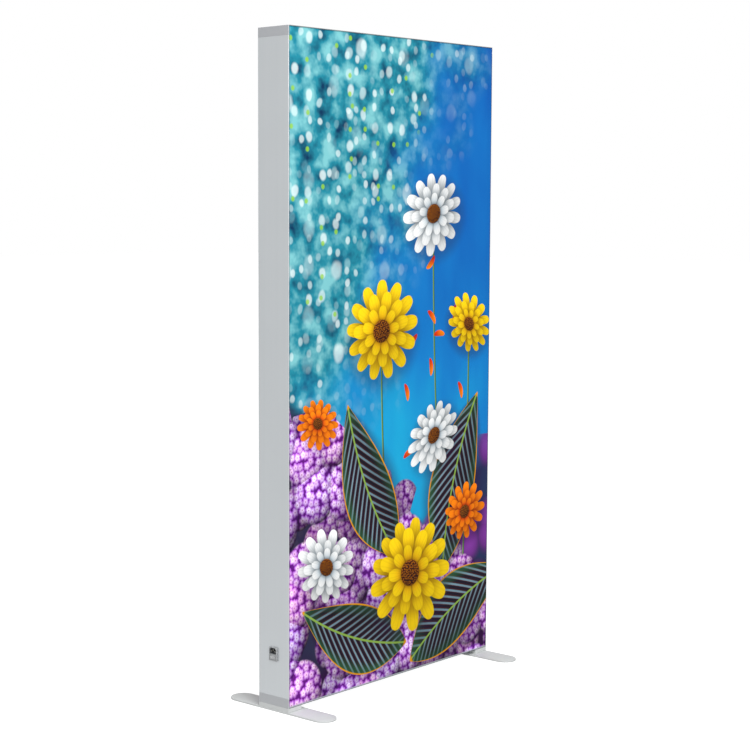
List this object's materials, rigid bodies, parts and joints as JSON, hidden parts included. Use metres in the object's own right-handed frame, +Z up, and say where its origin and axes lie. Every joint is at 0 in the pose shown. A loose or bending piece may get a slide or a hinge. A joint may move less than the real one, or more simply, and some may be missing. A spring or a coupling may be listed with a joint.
{
  "type": "lightbox display wall",
  "caption": "Free-standing lightbox wall: aluminium profile frame with tensioned fabric graphics front and back, LED edge light inside, side mains inlet with rocker switch, flat steel feet.",
  "frame": {"origin": "on the floor, midway between the two feet and midway through the depth", "axes": "+X along the width towards the side without the inlet, +Y towards the back, so the front graphic faces -Y, +Z up"},
  "size_m": [1.0083, 0.4, 2.019],
  "materials": {
    "frame_aluminium": "satin",
    "cap_grey": "satin",
    "printed_fabric": "matte",
    "silicone": "matte",
    "zinc_steel": "satin",
    "led_board": "satin",
    "driver_metal": "satin",
    "lead_sheath": "matte",
    "clip_plastic": "matte",
    "inlet_plastic": "satin",
    "socket_plastic": "satin",
    "contact_metal": "satin",
    "rocker_plastic": "satin",
    "foot_paint": "satin"
  },
  "bodies": {
    "frame": {"left_profile": "frame_aluminium", "right_profile": "frame_aluminium", "top_profile": "frame_aluminium", "bottom_profile": "frame_aluminium", "middle_crossbar": "frame_aluminium", "top_left_end_cap": "cap_grey", "top_right_end_cap": "cap_grey", "bottom_left_end_cap": "cap_grey", "bottom_right_end_cap": "cap_grey", "top_left_corner_bracket": "zinc_steel", "top_right_corner_bracket": "zinc_steel", "bottom_left_corner_bracket": "zinc_steel", "bottom_right_corner_bracket": "zinc_steel", "top_left_rail_screw": "zinc_steel", "top_left_upright_screw": "zinc_steel", "top_right_rail_screw": "zinc_steel", "top_right_upright_screw": "zinc_steel", "bottom_left_rail_screw": "zinc_steel", "bottom_left_upright_screw": "zinc_steel", "bottom_right_rail_screw": "zinc_steel", "bottom_right_upright_screw": "zinc_steel", "crossbar_bracket_left": "zinc_steel", "crossbar_bracket_right": "zinc_steel", "front_graphic": "printed_fabric", "back_graphic": "printed_fabric", "front_bead_left": "silicone", "front_bead_right": "silicone", "front_bead_top": "silicone", "front_bead_bottom": "silicone", "back_bead_left": "silicone", "back_bead_right": "silicone", "back_bead_top": "silicone", "back_bead_bottom": "silicone", "led_bar_left": "led_board", "led_bar_right": "led_board", "driver_case": "driver_metal", "driver_cover": "driver_metal", "driver_board": "led_board", "mains_lead": "lead_sheath", "led_lead_left": "lead_sheath", "led_lead_right": "lead_sheath", "lead_clip_middle": "clip_plastic", "lead_clip_right": "clip_plastic", "inlet_housing": "inlet_plastic", "socket_insert": "socket_plastic", "line_pin": "contact_metal", "neutral_pin": "contact_metal", "earth_pin": "contact_metal", "terminal_boot": "clip_plastic", "rocker_pivot": "zinc_steel", "foot_plate_left": "foot_paint", "foot_plate_right": "foot_paint", "foot_block_left": "foot_paint", "foot_block_right": "foot_paint", "foot_bolt_left_front": "zinc_steel", "foot_bolt_left_back": "zinc_steel", "foot_bolt_right_front": "zinc_steel", "foot_bolt_right_back": "zinc_steel"},
    "rocker": {"rocker_switch": "rocker_plastic"}
  },
  "joints": [
    {"name": "rocker_tilt", "type": "hinge", "parent": "frame", "child": "rocker", "pos_m": [-0.4995, 0, 0.165], "axis": [0, 0, -1], "range_deg": [0, 24]}
  ]
}
